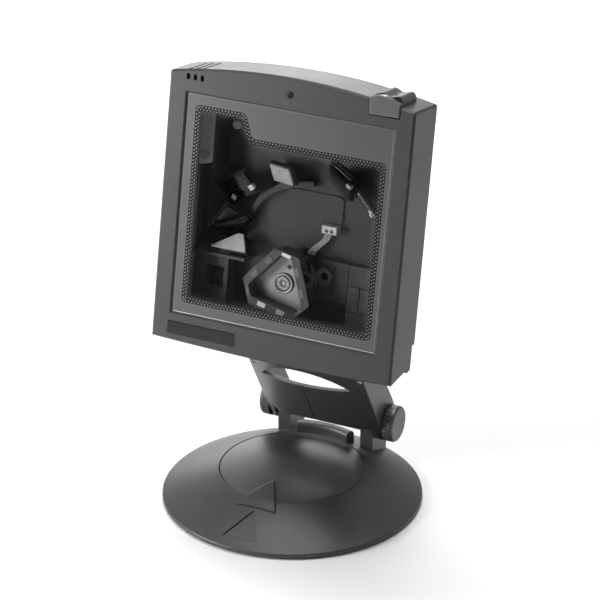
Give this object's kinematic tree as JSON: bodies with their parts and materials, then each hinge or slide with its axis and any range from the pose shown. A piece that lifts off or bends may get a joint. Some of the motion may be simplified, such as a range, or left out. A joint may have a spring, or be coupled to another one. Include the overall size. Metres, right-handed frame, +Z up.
{
  "type": "presentation barcode scanner",
  "caption": "Hands-free presentation barcode scanner: square scan window in a tilting head on a weighted round stand, with a spinning mirror wheel behind the window.",
  "frame": {"origin": "centre of the round stand at table height", "axes": "+Z up, -Y towards the user (scan window side), +X to the right as seen by the user"},
  "size_m": [0.1524, 0.1524, 0.2621],
  "materials": {
    "body_plastic": "fine satin texture",
    "ballast_steel": "dark coated",
    "floor_metal": "black coated",
    "screw_steel": "zinc plated",
    "foot_rubber": "matt",
    "pivot_brass": "turned",
    "washer_nylon": "natural nylon",
    "knob_plastic": "satin",
    "window_glass": "clear, flat",
    "mask_print": "printed grey",
    "gasket_foam": "closed-cell foam",
    "badge_plastic": "smooth, blank",
    "lens_plastic": "dark tinted",
    "component_plastic": "moulded black",
    "indicator_plastic": "smoked, satin",
    "button_plastic": "satin",
    "board_laminate": "solder-masked",
    "chassis_plastic": "black, fine texture",
    "mirror_glass": "front-silvered",
    "wheel_plastic": "glass-filled black",
    "clip_steel": "bright",
    "plate_aluminium": "bright rolled",
    "hub_metal": "turned",
    "cup_steel": "nickel plated",
    "magnet_ferrite": "bonded ferrite",
    "motor_metal": "black",
    "coil_copper": "enamelled copper wire",
    "plug_plastic": "white nylon",
    "wire_insulation": "light grey",
    "module_metal": "black anodised",
    "lens_glass": "coated"
  },
  "bodies": {
    "stand": {"base_shell": "body_plastic", "base_cover_disc": "body_plastic", "base_weight": "ballast_steel", "base_floor_plate": "floor_metal", "base_screws": "screw_steel", "rubber_feet": "foot_rubber", "pivot_bushes": "pivot_brass", "friction_washers": "washer_nylon"},
    "head": {"yoke": "body_plastic", "yoke_screws": "screw_steel", "yoke_clamp_screws": "screw_steel", "front_housing": "body_plastic", "rear_cover": "body_plastic", "housing_screws": "screw_steel", "scan_window": "window_glass", "window_mask": "mask_print", "window_gasket": "gasket_foam", "name_badge": "badge_plastic", "sensor_lens": "lens_plastic", "presence_sensor": "component_plastic", "indicator_lens": "indicator_plastic", "button_board": "board_laminate", "button_switch": "component_plastic", "beeper": "component_plastic", "optics_chassis": "chassis_plastic", "fold_mirror_top": "mirror_glass", "fold_mirror_upper_left": "mirror_glass", "fold_mirror_left": "mirror_glass", "fold_mirror_upper_right": "mirror_glass", "fold_mirror_right": "mirror_glass", "mirror_brackets": "chassis_plastic", "collector_mirror": "mirror_glass", "collector_bracket": "chassis_plastic", "motor_base": "motor_metal", "motor_shaft": "screw_steel", "motor_coils": "coil_copper", "motor_plug": "plug_plastic", "motor_wires": "wire_insulation", "laser_module": "module_metal", "laser_lens": "lens_glass", "detector_board": "board_laminate", "photodiode": "component_plastic", "main_board": "board_laminate", "board_chips": "component_plastic", "board_screws": "screw_steel", "chassis_screws": "screw_steel", "interface_jack": "component_plastic"},
    "left_knob_body": {"left_knob": "knob_plastic", "left_knob_stud": "screw_steel"},
    "right_knob_body": {"right_knob": "knob_plastic", "right_knob_stud": "screw_steel"},
    "button": {"function_button": "button_plastic"},
    "wheel": {"polygon_frame": "wheel_plastic", "facet_mirrors": "mirror_glass", "mirror_clips": "clip_steel", "polygon_plate": "plate_aluminium", "rotor_hub": "hub_metal", "rotor_cup": "cup_steel", "rotor_magnet": "magnet_ferrite"}
  },
  "joints": [
    {"name": "head_tilt", "type": "hinge", "parent": "stand", "child": "head", "pos_m": [0, 0.055, 0.0295], "axis": [1, 0, 0], "range_deg": [-20, 24]},
    {"name": "left_knob_turn", "type": "hinge", "parent": "stand", "child": "left_knob_body", "pos_m": [0, 0.055, 0.0295], "axis": [1, 0, 0], "range_deg": [-180, 180]},
    {"name": "right_knob_turn", "type": "hinge", "parent": "stand", "child": "right_knob_body", "pos_m": [0, 0.055, 0.0295], "axis": [1, 0, 0], "range_deg": [-180, 180]},
    {"name": "wheel_spin", "type": "hinge", "parent": "head", "child": "wheel", "pos_m": [-0.002, -0.00914, 0.14017], "axis": [0, 0.9816, -0.1908], "continuous": true},
    {"name": "button_press", "type": "slide", "parent": "head", "child": "button", "axis": [0, -0.1908, -0.9816], "range_m": [0, 0.0012], "stiffness_N_per_m": 600, "springref_m": -0.0006}
  ]
}
